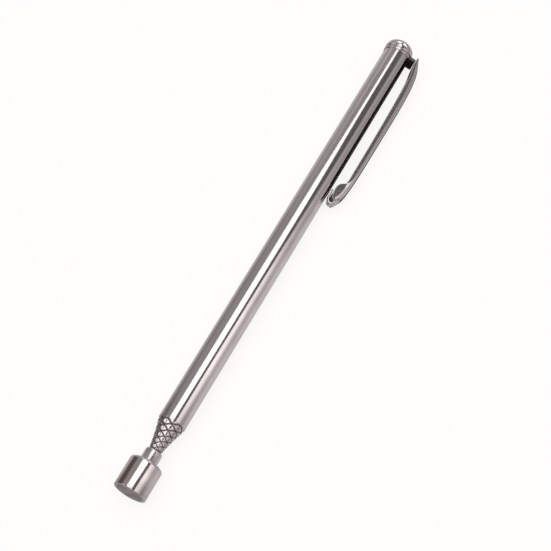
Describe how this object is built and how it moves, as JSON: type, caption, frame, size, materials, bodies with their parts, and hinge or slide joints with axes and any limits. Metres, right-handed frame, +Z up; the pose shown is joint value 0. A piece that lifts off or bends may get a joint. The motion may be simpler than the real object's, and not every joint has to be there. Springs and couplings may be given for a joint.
{
  "type": "magnetic pickup tool",
  "caption": "Pocket telescoping magnetic pickup tool: magnet head on nested sliding tubes, knurled nose, polished barrel, domed cap and pocket clip.",
  "frame": {"origin": "centre of the magnet's flat working face", "axes": "+X along the tool from the magnet to the domed cap, +Z up from the bench that it lies on; the pocket clip is on the -Y side, a little below level"},
  "size_m": [0.135, 0.0118, 0.008],
  "materials": {
    "polished_chrome": "mirror-polished plate",
    "knurled_chrome": "plated knurl",
    "cap_chrome": "polished plate",
    "head_chrome": "polished plate",
    "clip_steel": "satin spring steel",
    "tube_steel": "bright drawn stainless tube",
    "brass": "turned",
    "spring_bronze": "rolled strip",
    "magnet_nickel": "nickel plate, satin"
  },
  "bodies": {
    "handle": {"barrel_tube": "polished_chrome", "nose_cone": "knurled_chrome", "base_tube": "tube_steel", "rear_holder": "brass", "end_cap": "cap_chrome", "clip_collar": "clip_steel"},
    "clip": {"clip_arm": "clip_steel"},
    "drag_1": {"section_1_spring": "spring_bronze"},
    "section_1": {"section_1_tube": "tube_steel", "section_1_bush": "brass"},
    "drag_2": {"section_2_spring": "spring_bronze"},
    "section_2": {"section_2_tube": "tube_steel", "section_2_bush": "brass"},
    "drag_3": {"section_3_spring": "spring_bronze"},
    "section_3": {"section_3_tube": "tube_steel", "section_3_bush": "brass"},
    "drag_4": {"section_4_spring": "spring_bronze"},
    "head": {"section_4_rod": "tube_steel", "section_4_bush": "brass", "magnet_cup": "head_chrome", "magnet": "magnet_nickel"}
  },
  "joints": [
    {"name": "section_1_slide", "type": "slide", "parent": "handle", "child": "drag_1", "axis": [-1, 0, 0], "range_m": [0, 0.10835]},
    {"name": "section_1_turn", "type": "hinge", "parent": "drag_1", "child": "section_1", "pos_m": [0, 0, 0], "axis": [-1, 0, 0], "continuous": true},
    {"name": "section_2_slide", "type": "slide", "parent": "section_1", "child": "drag_2", "axis": [-1, 0, 0], "range_m": [0, 0.1048]},
    {"name": "section_2_turn", "type": "hinge", "parent": "drag_2", "child": "section_2", "pos_m": [0, 0, 0], "axis": [-1, 0, 0], "continuous": true},
    {"name": "section_3_slide", "type": "slide", "parent": "section_2", "child": "drag_3", "axis": [-1, 0, 0], "range_m": [0, 0.0983]},
    {"name": "section_3_turn", "type": "hinge", "parent": "drag_3", "child": "section_3", "pos_m": [0, 0, 0], "axis": [-1, 0, 0], "continuous": true},
    {"name": "section_4_slide", "type": "slide", "parent": "section_3", "child": "drag_4", "axis": [-1, 0, 0], "range_m": [0, 0.0918]},
    {"name": "section_4_turn", "type": "hinge", "parent": "drag_4", "child": "head", "pos_m": [0, 0, 0], "axis": [-1, 0, 0], "continuous": true},
    {"name": "clip_flex", "type": "hinge", "parent": "handle", "child": "clip", "pos_m": [0.1318, -0.0047, -0.00121], "axis": [0, -0.2504, 0.9681], "range_deg": [0, 3.5], "stiffness_Nm_per_rad": 1.2, "springref_deg": -1.72}
  ]
}
